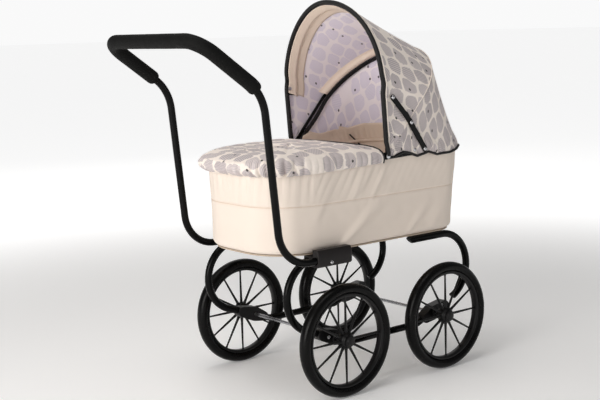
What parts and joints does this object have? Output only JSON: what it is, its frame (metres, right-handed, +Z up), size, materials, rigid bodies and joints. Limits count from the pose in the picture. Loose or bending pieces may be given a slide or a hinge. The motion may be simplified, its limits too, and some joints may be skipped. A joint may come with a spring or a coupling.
{
  "type": "doll pram",
  "caption": "Retro doll's pram: fabric carrycot with gathered apron, folding two-bow hood on jointed stays, tubular C-frame chassis, foam-gripped handle and spoked wheels.",
  "frame": {"origin": "on the ground under the middle of the pram's box", "axes": "+Z up, +X towards the hood end, -Y the near side"},
  "size_m": [0.5999, 0.3164, 0.6482],
  "materials": {
    "black_paint": "gloss",
    "black_plastic": "satin",
    "tyre": "semi-gloss",
    "foam": "matte foam",
    "steel": "satin",
    "board": "plain board",
    "cream_cloth": "plain weave",
    "mattress_cloth": "padded plain weave",
    "print_cloth": "printed plain weave"
  },
  "bodies": {
    "chassis": {"handle_tube": "black_paint", "handle_grip": "foam", "base_board": "board", "body_shell": "cream_cloth", "rim_hoop": "steel", "mattress": "mattress_cloth", "apron": "print_cloth", "hood_rear_gore": "print_cloth", "rear_axle": "steel", "front_axle": "steel", "rear_c_tube_near": "black_paint", "front_c_tube_near": "black_paint", "lower_rail_near": "black_paint", "top_block_near": "black_plastic", "rear_axle_bracket_near": "black_plastic", "front_axle_bracket_near": "black_plastic", "block_screw_near": "steel", "rear_bracket_screw_near": "steel", "front_bracket_screw_near": "steel", "rim_plate_near": "black_paint", "hood_pivot_pin_near": "steel", "stay_foot_rivet_near": "steel", "rim_plate_rivet_near": "steel", "rear_c_tube_far": "black_paint", "front_c_tube_far": "black_paint", "lower_rail_far": "black_paint", "top_block_far": "black_plastic", "rear_axle_bracket_far": "black_plastic", "front_axle_bracket_far": "black_plastic", "block_screw_far": "steel", "rear_bracket_screw_far": "steel", "front_bracket_screw_far": "steel", "rim_plate_far": "black_paint", "hood_pivot_pin_far": "steel", "stay_foot_rivet_far": "steel", "rim_plate_rivet_far": "steel"},
    "middle_bow": {"middle_bow": "black_paint"},
    "front_bow": {"front_bow": "black_paint", "hood_front_gore": "print_cloth", "stay_top_rivet_near": "steel", "stay_top_rivet_far": "steel"},
    "lower_stay_near": {"lower_stay_near": "black_paint"},
    "upper_stay_near": {"upper_stay_near": "black_paint", "stay_middle_rivet_near": "steel"},
    "lower_stay_far": {"lower_stay_far": "black_paint"},
    "upper_stay_far": {"upper_stay_far": "black_paint", "stay_middle_rivet_far": "steel"},
    "wheel_front_near": {"tyre_front_near": "tyre", "spoked_wheel_front_near": "black_plastic", "hub_cap_front_near": "black_plastic"},
    "wheel_front_far": {"tyre_front_far": "tyre", "spoked_wheel_front_far": "black_plastic", "hub_cap_front_far": "black_plastic"},
    "wheel_rear_near": {"tyre_rear_near": "tyre", "spoked_wheel_rear_near": "black_plastic", "hub_cap_rear_near": "black_plastic"},
    "wheel_rear_far": {"tyre_rear_far": "tyre", "spoked_wheel_rear_far": "black_plastic", "hub_cap_rear_far": "black_plastic"}
  },
  "joints": [
    {"name": "hood_fold", "type": "hinge", "parent": "chassis", "child": "middle_bow", "pos_m": [0.08655, 0, 0.387], "axis": [0, 1, 0], "range_deg": [0, 33], "deforming": ["hood_rear_gore"]},
    {"name": "front_bow_fold", "type": "hinge", "parent": "middle_bow", "child": "front_bow", "pos_m": [0.08655, 0, 0.387], "axis": [0, 1, 0], "range_deg": [0, 33], "deforming": ["hood_front_gore"]},
    {"name": "lower_stay_near_turn", "type": "hinge", "parent": "chassis", "child": "lower_stay_near", "pos_m": [0.17055, -0.1326, 0.392], "axis": [0, 1, 0], "range_deg": [-28.7, 0.1]},
    {"name": "upper_stay_near_turn", "type": "hinge", "parent": "front_bow", "child": "upper_stay_near", "pos_m": [0.09455, -0.1347, 0.485], "axis": [0, 1, 0], "range_deg": [-0.1, 65.6]},
    {"name": "lower_stay_far_turn", "type": "hinge", "parent": "chassis", "child": "lower_stay_far", "pos_m": [0.17055, 0.1326, 0.392], "axis": [0, 1, 0], "range_deg": [-28.7, 0.1]},
    {"name": "upper_stay_far_turn", "type": "hinge", "parent": "front_bow", "child": "upper_stay_far", "pos_m": [0.09455, 0.1347, 0.485], "axis": [0, 1, 0], "range_deg": [-0.1, 65.6]},
    {"name": "wheel_front_near_spin", "type": "hinge", "parent": "chassis", "child": "wheel_front_near", "pos_m": [0.2033, -0.1453, 0.095], "axis": [0, 1, 0], "continuous": true},
    {"name": "wheel_front_far_spin", "type": "hinge", "parent": "chassis", "child": "wheel_front_far", "pos_m": [0.2033, 0.1453, 0.095], "axis": [0, 1, 0], "continuous": true},
    {"name": "wheel_rear_near_spin", "type": "hinge", "parent": "chassis", "child": "wheel_rear_near", "pos_m": [-0.0302, -0.1453, 0.095], "axis": [0, 1, 0], "continuous": true},
    {"name": "wheel_rear_far_spin", "type": "hinge", "parent": "chassis", "child": "wheel_rear_far", "pos_m": [-0.0302, 0.1453, 0.095], "axis": [0, 1, 0], "continuous": true}
  ],
  "couplings": [
    {"joint": "front_bow_fold", "follows": "hood_fold", "ratio": 1},
    {"joint": "lower_stay_near_turn", "follows": "hood_fold", "ratio": -0.86667},
    {"joint": "upper_stay_near_turn", "follows": "hood_fold", "ratio": 1.9848},
    {"joint": "lower_stay_far_turn", "follows": "hood_fold", "ratio": -0.86667},
    {"joint": "upper_stay_far_turn", "follows": "hood_fold", "ratio": 1.9848}
  ]
}
